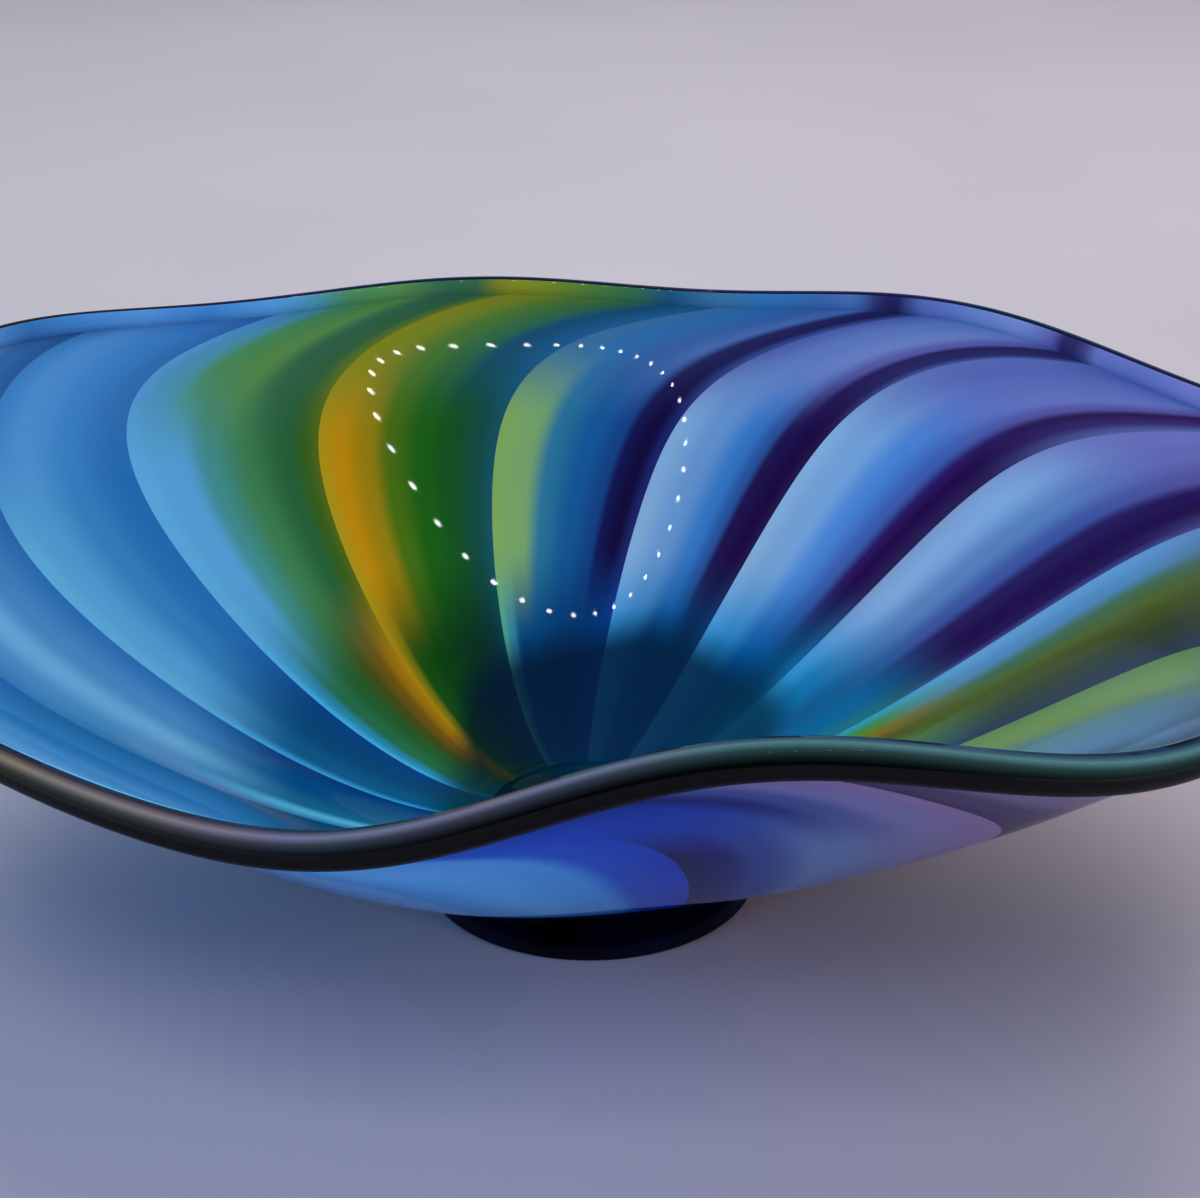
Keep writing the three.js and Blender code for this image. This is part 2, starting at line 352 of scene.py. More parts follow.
class Nodes:
    """A short hand for building a material's node tree."""

    def __init__(self, name: str) -> None:
        """Start an empty material of that name."""
        self.material = bpy.data.materials.new(name)
        self.material.use_nodes = True
        self.tree = self.material.node_tree
        self.tree.nodes.clear()
        self.output = self.tree.nodes.new("ShaderNodeOutputMaterial")

    def add(
        self, kind: str, settings: dict | None = None, stops: Stops = (), **inputs: object
    ) -> bpy.types.Node:
        """Add one node with its settings and links.

        Args:
            kind: The node's type, without its ShaderNode prefix.
            settings: Properties of the node itself or of its colour ramp.
            stops: Position and sRGB hex colour of each stop of its colour ramp.
            inputs: Values, or the sockets or nodes (by their first output) to link from, by socket
                name with _ for a space, or by number after an n.

        Returns:
            The new node.
        """
        node = self.tree.nodes.new("ShaderNode" + kind)
        for key, value in (settings or {}).items():
            setattr(node if hasattr(node, key) else node.color_ramp, key, value)
        for key, value in inputs.items():
            socket = node.inputs[int(key[1:]) if key[1:].isdigit() else key.replace("_", " ")]
            if isinstance(value, bpy.types.Node):
                value = value.outputs[0]
            if isinstance(value, bpy.types.NodeSocket):
                self.tree.links.new(value, socket)
            else:
                socket.default_value = value
        if stops:
            elements = node.color_ramp.elements
            elements.remove(elements[-1])
            elements[0].position, elements[0].color = stops[0][0], linear(stops[0][1])
            for place, colour in stops[1:]:
                elements.new(place).color = linear(colour)
        return node

    def long_ramp(self, stops: Stops, position: Source) -> Source:
        """Add as many ramps as a long list of stops needs, each taking over where the last one ends.

        Args:
            stops: Position and sRGB hex colour of each stop, in rising order.
            position: What drives them.

        Returns:
            The colour of them all.
        """
        colour = self.add("ValToRGB", None, stops[:RAMP_STOPS], n0=position)
        for first in range(RAMP_STOPS - 1, len(stops) - 1, RAMP_STOPS - 1):
            past = self.add("Math", {"operation": "GREATER_THAN"}, n0=position, n1=stops[first][0])
            later = self.add("ValToRGB", None, stops[first : first + RAMP_STOPS], n0=position)
            colour = self.add("Mix", BLEND, n0=past, n6=colour, n7=later).outputs[2]
        return colour

    def clouds(self, size: float, stops: Stops) -> bpy.types.Node:
        """Add soft clouds of colour that lie still in the piece.

        Args:
            size: Size of one cloud, in metres.
            stops: Place in the noise and sRGB hex colour of each shade.

        Returns:
            The node that gives the colour.
        """
        place = self.add("TexCoord").outputs["Object"]
        cloud = self.add("TexNoise", Vector=place, Scale=1 / size, Detail=2.0)
        return self.add("ValToRGB", None, stops, n0=cloud)

    def ring_noise(self, swirl: bpy.types.Node, around: float, up: float, detail: float) -> bpy.types.Node:
        """Add a noise that follows the swirl and closes on itself round the bowl.

        Args:
            swirl: Node with the turn of the swirl on X and the rise on Y.
            around: Noise cells in one turn.
            up: Noise cells from floor to lip.
            detail: Octaves of the noise.

        Returns:
            The noise, read at a place on a ring whose length is the number of cells.
        """
        radius = around / (2 * math.pi)
        angle = self.add("Math", {"operation": "MULTIPLY"}, n0=swirl.outputs["X"], n1=2 * math.pi)
        cosine = self.add("Math", {"operation": "COSINE"}, n0=angle)
        sine = self.add("Math", {"operation": "SINE"}, n0=angle)
        place = self.add(
            "CombineXYZ",
            X=self.add("Math", {"operation": "MULTIPLY"}, n0=cosine, n1=radius),
            Y=self.add("Math", {"operation": "MULTIPLY"}, n0=sine, n1=radius),
            Z=self.add("Math", {"operation": "MULTIPLY"}, n0=swirl.outputs["Y"], n1=up),
        )
        return self.add("TexNoise", Vector=place, Scale=1.0, Detail=detail)

    def swirl(self) -> bpy.types.Node:
        """Add the swirl's own coordinates: turns around on X and the rise on Y."""
        return self.add("SeparateXYZ", n0=self.add("UVMap", {"uv_map": "swirl"}).outputs["UV"])

    def cased(self, colour: Source) -> bpy.types.Material:
        """Finish a coloured glass that lies under clear glass.

        The colour meets the clear glass, not air, so only the clear glass's own face shines.

        Args:
            colour: The glass's colour.

        Returns:
            The finished material.
        """
        shader = self.add(
            "BsdfPrincipled",
            Base_Color=colour,
            Roughness=0.3,
            IOR=1.5,
            Specular_IOR_Level=0.0,
            Coat_Weight=0.75,
            Coat_Roughness=0.02,
            Coat_IOR=1.5,
        )
        return self.finish(shader)

    def finish(self, shader: bpy.types.Node) -> bpy.types.Material:
        """Link the shader to the output and give the material."""
        self.tree.links.new(shader.outputs[0], self.output.inputs["Surface"])
        return self.material


@dataclass(frozen=True)
class SwirlGlass:
    """One stretch of the swirl: the colours across it at three heights.

    Transparent rod colours picked up side by side and melted together: each starts at a sharp
    edge and thins out into the next, so the eye sees a crisp line on one side and a wash on the
    other. The glass over them gives the wet gloss.

    Args:
        name: What the material is called.
        start: Bearing of its sharp edge, in degrees.
        end: Bearing where the next stretch starts, in degrees.
        floor: Degrees clockwise from the edge and colour, low in the bowl.
        middle: The same halfway up.
        lip: The same just under the lip.
        painted_shade_colours: Turns around the bowl and colour of the painted shade low in the bowl: partly
            the floor glass's own deep teal, partly painted shade of the dark foot and the shade under the
            bowl seen through the low wall.
        floor_height: Rises between which floor gives way to middle.
        lip_height: Rises between which middle gives way to lip.
        painted_wash_height: Rises between which the painted shade's soft wash thins out.
        painted_wash_share: How much of the painted shade's colour the wash has.
        painted_shade_bearing: Bearing where the painted shade stands highest, in degrees.
        painted_shade_reach: Cosines, from that bearing, between which the painted shade comes to its full
            height.
        painted_shade_side: Rise of the painted shade's edge away from there.
        painted_shade_back: How much higher the edge stands there.
        painted_shade_edge: Half the width of the painted shade's soft edge.
        painted_shade_share: How much of the painted shade's colour its body has.
        scallops: How many scallops the edge has in one turn.
        scallop_depth: How deep a scallop is, as a rise.
        threads: Noise cells of the fine streaks in one turn.
        thread_length: Noise cells of the streaks from floor to lip.
        thread_wander: How far the streaks move the colours' edges, in turns.
    """

    name: str
    start: float
    end: float
    floor: Stops
    middle: Stops
    lip: Stops

    # painted shade low in the bowl: partly the floor glass's own deep teal, partly the dark foot and the
    # shade under the bowl seen through the low wall
    painted_shade_colours: Stops = (
        (0.06, "#014A60"),
        (0.16, "#013450"),
        (0.25, "#012444"),
        (0.33, "#01203A"),
        (0.39, "#04281A"),
        (0.5, "#034058"),
    )
    floor_height: tuple[float, float] = (0.32, 0.52)
    lip_height: tuple[float, float] = (0.72, 0.9)
    painted_wash_height: tuple[float, float] = (-0.1, 0.5)
    painted_wash_share: float = 0.75
    painted_shade_bearing: float = 82
    painted_shade_reach: tuple[float, float] = (0.3, 1.0)
    painted_shade_side: float = 0.1
    painted_shade_back: float = 0.27
    painted_shade_edge: float = 0.055
    painted_shade_share: float = 0.93
    scallops: int = 8
    scallop_depth: float = 0.04
    threads: float = 60
    thread_length: float = 1.6
    thread_wander: float = 0.002

    # painted shade: the dark foot and the shade under the bowl seen through the low wall, standing higher at
    # the back, over the floor glass's own deep teal
    def pool(self, n: Nodes, across: Source, rise: Source) -> bpy.types.Node:
        """Work out how much painted shade lies over the colour.

        The painted shade's edge is a scalloped line that stands higher at the back; a soft painted wash
        rises above it.

        Args:
            n: The material's nodes.
            across: Turns around the bowl.
            rise: Rise up the wall.

        Returns:
            The share of the painted shade's colour, from 0 to 1.
        """
        turn = n.add("Math", {"operation": "SUBTRACT"}, n0=across, n1=self.painted_shade_bearing / FULL_TURN)
        angle = n.add("Math", {"operation": "MULTIPLY"}, n0=turn, n1=2 * math.pi)
        facing = n.add("Math", {"operation": "COSINE"}, n0=angle)
        far, near = self.painted_shade_reach
        back = n.add("MapRange", SMOOTH, Value=facing, From_Min=far, From_Max=near)
        beat = n.add("Math", {"operation": "MULTIPLY"}, n0=turn, n1=self.scallops * math.pi)
        beat = n.add("Math", {"operation": "SINE"}, n0=beat)
        scallop = n.add("Math", {"operation": "ABSOLUTE"}, n0=beat)
        step = n.add("Math", {"operation": "MULTIPLY"}, n0=back, n1=self.painted_shade_back)
        edge = n.add("Math", {"operation": "ADD"}, n0=step, n1=self.painted_shade_side)
        notch = n.add("Math", {"operation": "MULTIPLY"}, n0=scallop, n1=back)
        notch = n.add("Math", {"operation": "MULTIPLY"}, n0=notch, n1=self.scallop_depth)
        edge = n.add("Math", {"operation": "SUBTRACT"}, n0=edge, n1=notch)
        over = n.add("Math", {"operation": "SUBTRACT"}, n0=rise, n1=edge)
        clear = n.add("MapRange", SMOOTH, Value=over, From_Min=-self.painted_shade_edge, From_Max=self.painted_shade_edge)
        body = n.add("Math", {"operation": "SUBTRACT"}, n0=1.0, n1=clear)
        low, high = self.painted_wash_height
        thinning = n.add("MapRange", SMOOTH, Value=rise, From_Min=low, From_Max=high)
        wash = n.add("Math", {"operation": "SUBTRACT"}, n0=1.0, n1=thinning)
        share = n.add("Math", {"operation": "MULTIPLY"}, n0=back, n1=self.painted_wash_share)
        wash = n.add("Math", {"operation": "MULTIPLY"}, n0=wash, n1=share)
        body = n.add("Math", {"operation": "MULTIPLY"}, n0=body, n1=self.painted_shade_share)
        return n.add("Math", {"operation": "MAXIMUM"}, n0=body, n1=wash)

    def material(self) -> bpy.types.Material:
        """Build the material.

        Returns:
            A glossy glass whose colour goes by the swirl's own coordinates.
        """
        n = Nodes(self.name)
        swirl = n.swirl()
        across, rise = swirl.outputs["X"], swirl.outputs["Y"]
        threads = n.ring_noise(swirl, self.threads, self.thread_length, 1)
        wander = n.add("Math", {"operation": "SUBTRACT"}, n0=threads, n1=0.5)
        wander = n.add("Math", {"operation": "MULTIPLY"}, n0=wander, n1=self.thread_wander)
        place = n.add(
            "MapRange",
            Value=n.add("Math", {"operation": "ADD"}, n0=across, n1=wander),
            From_Min=self.start / FULL_TURN,
            From_Max=self.end / FULL_TURN,
        )
        span = self.start - self.end
        floor, middle, lip = (
            n.add("ValToRGB", {"interpolation": "EASE"}, tuple((d / span, c) for d, c in stops), n0=place)
            for stops in (self.floor, self.middle, self.lip)
        )
        low, high = self.floor_height
        rising = n.add("MapRange", SMOOTH, Value=rise, From_Min=low, From_Max=high)
        colour = n.add("Mix", BLEND, n0=rising, n6=floor, n7=middle).outputs[2]
        low, high = self.lip_height
        rising = n.add("MapRange", SMOOTH, Value=rise, From_Min=low, From_Max=high)
        colour = n.add("Mix", BLEND, n0=rising, n6=colour, n7=lip).outputs[2]
        # painted shade laid over the colour low in the bowl
        shade = n.add("ValToRGB", None, self.painted_shade_colours, n0=across)
        colour = n.add("Mix", BLEND, n0=self.pool(n, across, rise), n6=colour, n7=shade).outputs[2]
        streak = n.add("MapRange", Value=threads, From_Min=0.3, From_Max=0.7, To_Min=0.96, To_Max=1.04)
        return n.cased(n.add("Mix", MULTIPLY_COLOURS, n0=1.0, n6=colour, n7=streak).outputs[2])


SWIRL: tuple[SwirlGlass, ...] = (
    SwirlGlass(
        "sky_blue_glass_1", 208, 187,
        floor=((0, "#2F7FAE"), (3, "#5AB0D8"), (6, "#1F6A92"), (14, "#0A5288"), (21, "#06407A")),
        middle=((0, "#3E7CB2"), (4, "#4C8CBE"), (9, "#6AA6D0"), (14, "#4C8CBE"), (21, "#3272AE")),
        lip=((0, "#4A86C0"), (9, "#5A96CC"), (15, "#3A70A8"), (21, "#33659C")),
    ),
    SwirlGlass(
        "sky_blue_glass_2", 187, 166,
        floor=((0, "#3C9ACC"), (3, "#0E5E88"), (12, "#04507C"), (21, "#054A84")),
        middle=((0, "#62AAD2"), (6, "#569CCA"), (12, "#3C84BA"), (20, "#2C74B2"), (21, "#2C74B2")),
        lip=((0, "#4486C0"), (7, "#5494CC"), (14, "#4284C0"), (21, "#3A76AE")),
    ),
    SwirlGlass(
        "green_glass", 166, 140,
        floor=(
            (0, "#48ACDC"), (3, "#2E8CA8"), (6, "#2C7450"), (13, "#2A6430"),
            (17, "#465618"), (21, "#745C10"), (24, "#9C760C"), (26, "#A8840C"),
        ),
        middle=(
            (0, "#62ACD8"), (7, "#58A0CC"), (11, "#4A9490"), (16, "#448456"),
            (22, "#2E6C40"), (24, "#3E6A24"), (26, "#5A701C"),
        ),
        lip=(
            (0, "#5A9CCC"), (4, "#5498B0"), (8, "#50905E"), (14, "#5E9250"),
            (19, "#3E7050"), (23, "#3E7048"), (26, "#668030"),
        ),
    ),
    SwirlGlass(
        "amber_glass", 140, 115,
        floor=(
            (0, "#A88C0C"), (2, "#7C7C0C"), (4, "#1E5A10"), (10, "#0E4C10"),
            (18, "#0C4020"), (22, "#0C4038"), (25, "#0E4A50"),
        ),
        middle=(
            (0, "#AC981C"), (3, "#BE9008"), (7, "#A08C10"), (10, "#527A16"),
            (14, "#246A18"), (19, "#1E6028"), (22, "#1C5A48"), (25, "#1E6068"),
        ),
        lip=(
            (0, "#8E9024"), (4, "#84922C"), (10, "#58843C"),
            (15, "#3E7650"), (19, "#245E78"), (25, "#2A6890"),
        ),
    ),
    SwirlGlass(
        "lime_and_blue_glass", 115, 91.5,
        floor=((0, "#5AAE96"), (2, "#3A92A4"), (4, "#04588C"), (16, "#024678"), (23.5, "#034C92")),
        middle=(
            (0, "#8AB264"), (5, "#86B070"), (8, "#35809A"), (13, "#1E6498"),
            (17, "#1E5088"), (18.4, "#1C1E58"), (21, "#1A0E42"), (23.5, "#2A3272"),
        ),
        lip=(
            (0, "#4A7C98"), (6, "#3E7AA8"), (12, "#4A709E"), (16, "#5A78A8"),
            (18.6, "#34305E"), (21, "#2E2C5A"), (23.5, "#485A8A"),
        ),
    ),
    SwirlGlass(
        "ice_blue_glass_1", 91.5, 70.5,
        floor=((0, "#3C9CD4"), (5, "#3090C4"), (10, "#0466A0"), (18, "#04406A"), (21, "#124C78")),
        middle=(
            (0, "#92B6D0"), (6, "#7AA4CC"), (11, "#4482BC"), (14, "#38629C"),
            (15.5, "#2C1C54"), (19, "#280A48"), (21, "#322050"),
        ),
        lip=(
            (0, "#6470A6"), (6, "#7488B6"), (12, "#8490BC"), (15.5, "#706EA4"),
            (17, "#3C3060"), (19.5, "#3C3866"), (21, "#566294"),
        ),
    ),
    SwirlGlass(
        "ice_blue_glass_2", 70.5, 46.5,
        floor=((0, "#48A8DC"), (6, "#2E94C8"), (11, "#0468A4"), (20, "#055C86"), (24, "#1C76A0")),
        middle=(
            (0, "#98BAD4"), (6, "#88AED0"), (11, "#5C92CC"), (16, "#4C6CAA"),
            (18.5, "#3A1E62"), (20.5, "#300E50"), (24, "#3A2A5A"),
        ),
        lip=(
            (0, "#747CB0"), (6, "#7078B0"), (14, "#7A80B4"), (16.5, "#6A6298"),
            (18.5, "#3C2654"), (21, "#48366A"), (24, "#666A9A"),
        ),
    ),
    SwirlGlass(
        "ice_blue_glass_3", 46.5, 20,
        floor=((0, "#42A4D4"), (6, "#2088B8"), (14, "#1A6A94"), (20, "#10709A"), (26.5, "#2A7A80")),
        middle=(
            (0, "#90A8C6"), (4, "#90B0D0"), (10, "#6A8EB8"), (15, "#4C609C"),
            (17.5, "#33245E"), (22, "#2A124E"), (25, "#301C56"), (26.5, "#484880"),
        ),
        lip=(
            (0, "#7E7EB2"), (8, "#7474AA"), (15, "#645E98"),
            (18.5, "#30185A"), (22, "#2C144E"), (26.5, "#565484"),
        ),
    ),
    SwirlGlass(
        "moss_glass", 20, -3,
        floor=(
            (0, "#34A0B4"), (3, "#4C8C48"), (7, "#88741C"), (10, "#5E5C18"),
            (14, "#5A8044"), (20, "#4E7A68"), (23, "#2C4A58"),
        ),
        middle=(
            (0, "#6CA0C4"), (4, "#5E90B4"), (7.5, "#507652"), (10, "#5C6E30"),
            (14, "#525C24"), (18, "#425036"), (23, "#404A54"),
        ),
        lip=((0, "#6C7EA8"), (6, "#60706C"), (12, "#5C5E44"), (18, "#4A4846"), (23, "#46485E")),
    ),
    SwirlGlass(
        "lime_glass", -3, -20,
        floor=((0, "#6A9C54"), (4, "#548868"), (10, "#46747C"), (17, "#2A4858")),
        middle=((0, "#6E9054"), (4, "#7C985C"), (9, "#64868A"), (13, "#66869C"), (17, "#4E6A70")),
        lip=((0, "#6A7A74"), (5, "#60726E"), (10, "#5E6E7C"), (17, "#4C6078")),
    ),
    SwirlGlass(
        "mauve_glass", -20, -38,
        floor=((0, "#5E6488"), (10, "#56567E"), (18, "#3E3560")),
        middle=((0, "#8280A0"), (9, "#756C92"), (13, "#5A4C78"), (18, "#43345E")),
        lip=((0, "#8886A4"), (9, "#7A7296"), (14, "#574A72"), (18, "#463A60")),
    ),
    SwirlGlass(
        "lilac_glass", -38, -69,
        floor=((0, "#6A5E92"), (12, "#5A6C9C"), (22, "#2C407E"), (31, "#040E50")),
        middle=(
            (0, "#9C84B4"), (9, "#8488B6"), (17, "#6C8EBE"),
            (23, "#30509C"), (27, "#0A1A74"), (31, "#030C58"),
        ),
        lip=(
            (0, "#9680AE"), (7, "#8282B2"), (12, "#4A5EA0"),
            (16, "#142C84"), (20, "#0C44B0"), (31, "#0450CC"),
        ),
    ),
    SwirlGlass(
        "cobalt_glass", -69, -96,
        floor=((0, "#003CC0"), (7, "#0A52CC"), (12, "#3C8AE0"), (27, "#2A6CC4")),
        middle=((0, "#0048CC"), (6, "#045CD4"), (10, "#4CA8F0"), (18, "#5CBCFA"), (27, "#40A0E0")),
        lip=((0, "#0450CC"), (6, "#0C62D8"), (10, "#5CB0F0"), (20, "#66BEF6"), (27, "#4CA6E2")),
    ),
    SwirlGlass(
        "sky_blue_glass_3", -96, -124,
        floor=((0, "#4C9CCC"), (8, "#2C78B0"), (20, "#0A5288"), (28, "#08447C")),
        middle=((0, "#6CACE0"), (9, "#5C9AD2"), (20, "#2C70B8"), (28, "#1C5CA8")),
        lip=((0, "#6EA8DC"), (10, "#5E9AD2"), (20, "#3C78BC"), (28, "#3268AC")),
    ),
    SwirlGlass(
        "sky_blue_glass_4", -124, -152,
        floor=((0, "#50A4D0"), (8, "#2C80AC"), (20, "#0A5888"), (28, "#084A78")),
        middle=((0, "#6CACDC"), (9, "#5A9CCE"), (20, "#3478B4"), (28, "#2468A4")),
        lip=((0, "#6AA6D6"), (10, "#5A98CA"), (20, "#3C7CB4"), (28, "#326CA4")),
    ),
)


@dataclass(frozen=True)
class RolledLipGlass:
    """The rolled lip's glass: the bars' colours just under the lip, run together.

    Args:
        lean: Degrees that the swirl leans on between the wall's last strip and the lip's middle.
    """

    lean: float = 6.0

    def material(self) -> bpy.types.Material:
        """Build the material: every stretch's own lip stops, one after the other round the bowl."""
        n = Nodes("rolled_lip_glass")
        last = SWIRL[-1].end
        start = (last + self.lean) / FULL_TURN
        turns = n.add("Math", {"operation": "SUBTRACT"}, n0=n.swirl().outputs["X"], n1=start)
        turns = n.add("Math", {"operation": "FRACT"}, n0=turns)
        shades = sorted(
            ((glass.start - degrees - last) / FULL_TURN, colour)
            for glass in SWIRL
            for degrees, colour in glass.lip[:-1]
        )
        return n.cased(n.long_ramp(tuple(shades), turns))


@dataclass(frozen=True)
class BlackLipGlass:
    """Black thread glass with a painted highlight on its crest: grey, with a faintly coloured painted sheen.

    The painted highlight gives a light line along the top of the lip, and painted shade keeps the edge under
    it black.

    Args:
        crest: Turns around the thread's section and shade, from the inside over the top: painted highlight
            on the crest, painted shade below it.
        painted_sheen_tint: Place in the noise and tint of the painted sheen on the crest, from olive to
            violet to teal.
        painted_sheen_patches: Noise cells of the painted sheen's tint in one turn of the lip.
    """

    # painted highlight on the crest of the black lip thread, and painted shade down to black below it
    crest: Stops = (
        (0.08, "#101018"),
        (0.14, "#3C3C58"),
        (0.21, "#84868E"),
        (0.27, "#4E504E"),
        (0.33, "#2A2C28"),
        (0.37, "#050505"),
        (0.44, "#010102"),
    )
    # tints of the painted sheen on the crest
    painted_sheen_tint: Stops = ((0.38, "#F0E0B8"), (0.5, "#DCD8F4"), (0.62, "#A0E6E0"))
    painted_sheen_patches: float = 9

    def material(self) -> bpy.types.Material:
        """Build the material: the crest's painted highlight and shade times the painted sheen's tint, under
        clear gloss.
        """
        n = Nodes("black_lip_glass")
        swirl = n.swirl()
        shade = n.add("ValToRGB", None, self.crest, n0=swirl.outputs["Y"])
        tint = n.add("ValToRGB", None, self.painted_sheen_tint, n0=n.ring_noise(swirl, self.painted_sheen_patches, 0, 1))
        shader = n.add(
            "BsdfPrincipled",
            Base_Color=n.add("Mix", MULTIPLY_COLOURS, n0=1.0, n6=shade, n7=tint).outputs[2],
            Roughness=0.25,
            IOR=1.52,
            Specular_IOR_Level=0.0,
            Coat_Weight=0.5,
            Coat_Roughness=0.03,
            Coat_IOR=1.5,
        )
        return n.finish(shader)


@dataclass(frozen=True)
class TealPoolGlass:
    """Dark teal glass under the clear gather: the quiet middle that the colours run into.

    Args:
        cloud: Size of one cloud of its colour.
        shades: Place in the clouds and colour.
    """

    cloud: float = 25 * MM
    shades: Stops = ((0.35, "#01202E"), (0.65, "#023246"))

    def material(self) -> bpy.types.Material:
        """Build the material: two near shades in soft clouds, cased in clear glass."""
        n = Nodes("teal_pool_glass")
        return n.cased(n.clouds(self.cloud, self.shades))


@dataclass(frozen=True)
class NavyFootGlass:
    """Thick navy glass, so deep that it looks black, with hard, clear reflections on its edge.

    Args:
        cloud: Size of one cloud of its colour.
        shades: Place in the clouds and colour.
    """

    cloud: float = 40 * MM
    shades: Stops = ((0.35, "#020208"), (0.65, "#06082A"))

    def material(self) -> bpy.types.Material:
        """Build the material: near-black clouds under fire-polished gloss."""
        n = Nodes("navy_foot_glass")
        colour = n.clouds(self.cloud, self.shades)
        shader = n.add(
            "BsdfPrincipled", Base_Color=colour, Roughness=0.03, IOR=1.52, Specular_IOR_Level=0.3
        )
        return n.finish(shader)


@dataclass(frozen=True)
class PalePaper:
    """Matt, pale paper with a cloudy tone, so that the bowl's soft shadow reads on it.

    Args:
        cloud: Size of one cloud of its tone.
        shades: Place in the clouds and colour.
    """

    cloud: float = 1 / 3
    shades: Stops = ((0.3, "#B4B1B8"), (0.7, "#B9B6BC"))

    def material(self) -> bpy.types.Material:
        """Build the material: two near greys with a matt face."""
        n = Nodes("pale_paper")
        colour = n.clouds(self.cloud, self.shades)
        return n.finish(n.add("BsdfPrincipled", Base_Color=colour, Roughness=0.7))


class Depth(Enum):
    """Depths of the layers of the wall, from outside to inside, in metres."""

    CASING_OUT = -2.8 * MM
    BARS_OUT = -1.0 * MM
    BARS_IN = 1.0 * MM
    GATHER_IN = 2.8 * MM


@dataclass(frozen=True)
class Bar:
    """One colour bar: its name in the model and its width in degrees of the swirl."""

    name: str
    width: float


@dataclass
class Swirl:
    """The colour bars, side by side from the first bearing on, clockwise seen from above.

    Args:
        form: The bowl's shape.
        first: Bearing where the first bar starts, in degrees.
        bars: The bars in order.
        column: Widest step across a bar, in degrees.
        rows: Points from floor to lip.
        crowding: Power that spaces the rows; below 1 they crowd towards the lip.
    """

    form: BowlForm
    first: float = 208
    bars: tuple[Bar, ...] = (
        Bar("bar_sky_1", 21),
        Bar("bar_sky_2", 21),
        Bar("bar_sea_green", 18),
        Bar("bar_umber", 8),
        Bar("bar_amber", 8),
        Bar("bar_leaf_green", 9),
        Bar("bar_teal", 8),
        Bar("bar_lime_1", 8),
        Bar("bar_mid_blue", 9),
        Bar("bar_plum_1", 6.5),
        Bar("bar_ice_blue_1", 14),
        Bar("bar_plum_2", 7),
        Bar("bar_ice_blue_2", 16.5),
        Bar("bar_plum_3", 7.5),
        Bar("bar_ice_blue_3", 17.5),
        Bar("bar_plum_4", 9),
        Bar("bar_ice_blue_4", 7),
        Bar("bar_moss", 8),
        Bar("bar_slate", 8),
        Bar("bar_lime_2", 9),
        Bar("bar_lilac_1", 8),
        Bar("bar_grey_mauve", 10),
        Bar("bar_plum_5", 8),
        Bar("bar_lilac_2", 12),
        Bar("bar_grey_blue", 11),
        Bar("bar_navy", 8),
        Bar("bar_cobalt", 7),
        Bar("bar_sky_3", 20),
        Bar("bar_sky_4", 28),
        Bar("bar_sky_5", 28),
    )
    column: float = 0.8
    rows: int = 96
    crowding: float = 0.8

    def build(self) -> None:
        """Make every bar as a closed slab that meets its neighbours."""
        rise = np.linspace(0, 1, self.rows) ** self.crowding
        glasses = [(glass, glass.material()) for glass in SWIRL]
        high = self.first
        for bar in self.bars:
            low = high - bar.width
            middle = (low + high) / 2
            glass = next(m for g, m in glasses if g.end < middle < g.start)
            bearing = np.linspace(low, high, math.ceil(bar.width / self.column) + 1)
            low_face, high_face = Depth.BARS_OUT.value, Depth.BARS_IN.value
            piece = slab(bar.name + "_glass", self.form, rise, bearing, low_face, high_face)
            piece.build(glass, bar.name, bar.name)
            high = low


@dataclass(frozen=True)
class ClearGlass:
    """Clear casing glass: thin, so it adds a faint cool veil over the colour.

    Args:
        name: What the material is called.
        tint: Its own colour.
        veil: How much of the colour below it hides.
    """

    name: str
    tint: str
    veil: float

    def material(self) -> bpy.types.Material:
        """Build the material: a thin glossy film with faint cords in it."""
        n = Nodes(self.name)
        cords = n.ring_noise(n.swirl(), 30, 3, 2)
        thin, thick = 0.8 * self.veil, 1.2 * self.veil
        veil = n.add("MapRange", Value=cords, From_Min=0.3, From_Max=0.7, To_Min=thin, To_Max=thick)
        shader = n.add(
            "BsdfPrincipled",
            Base_Color=linear(self.tint),
            Roughness=0.04,
            IOR=1.5,
            Alpha=veil,
        )
        return n.finish(shader)


@dataclass
class Casing:
    """The clear skins on both sides of the bars, each one sheet from floor to lip.

    Args:
        form: The bowl's shape.
        columns: Steps around the bowl.
        rows: Points from floor to lip.
        floor_rows: Points from the middle to the floor's edge.
    """

    form: BowlForm
    columns: int = 360
    rows: int = 72
    floor_rows: int = 6

    def build(self) -> None:
        """Make the inner gather and the outer casing."""
        floor = np.linspace(-1, 0, self.floor_rows, endpoint=False)
        rise = np.concatenate([floor, np.linspace(0, 1, self.rows)])
        bearing = np.linspace(0, FULL_TURN, self.columns, endpoint=False)
        inner = ClearGlass("clear_gather_glass", "#0A1A24", 0.02).material()
        outer = ClearGlass("clear_casing_glass", "#0A2050", 0.02).material()
        low, high = Depth.BARS_IN.value + SKIN_GAP, Depth.GATHER_IN.value
        gather = slab("inner_gather_glass", self.form, rise, bearing, low, high, True)
        gather.build(inner, "clear_glass", "inner_gather")
        low, high = Depth.CASING_OUT.value, Depth.BARS_OUT.value - SKIN_GAP
        casing = slab("outer_casing_glass", self.form, rise, bearing, low, high, True)
        casing.build(outer, "clear_glass", "outer_casing")


@dataclass
class CentrePool:
    """The dark teal pool in the floor, where the bars run together.

    Args:
        form: The bowl's shape.
        segments: Steps around the disc.
        rings: Points from its centre to its edge.
    """

    form: BowlForm
    segments: int = 128
    rings: int = 12

    def build(self) -> None:
        """Make the pool as a thin turned disc between the skins."""
        low, high = (self.form.floor_height + d.value for d in (Depth.BARS_OUT, Depth.BARS_IN))
        radius = np.linspace(0, self.form.floor_radius, self.rings)
        outline = np.concatenate([
            np.stack([radius, np.full_like(radius, low)], -1),
            np.stack([radius[::-1], np.full_like(radius, high)], -1),
        ])
        disc = turned("centre_pool_glass", outline, self.segments)
        disc.build(TealPoolGlass().material(), "floor_pool", "centre_pool")


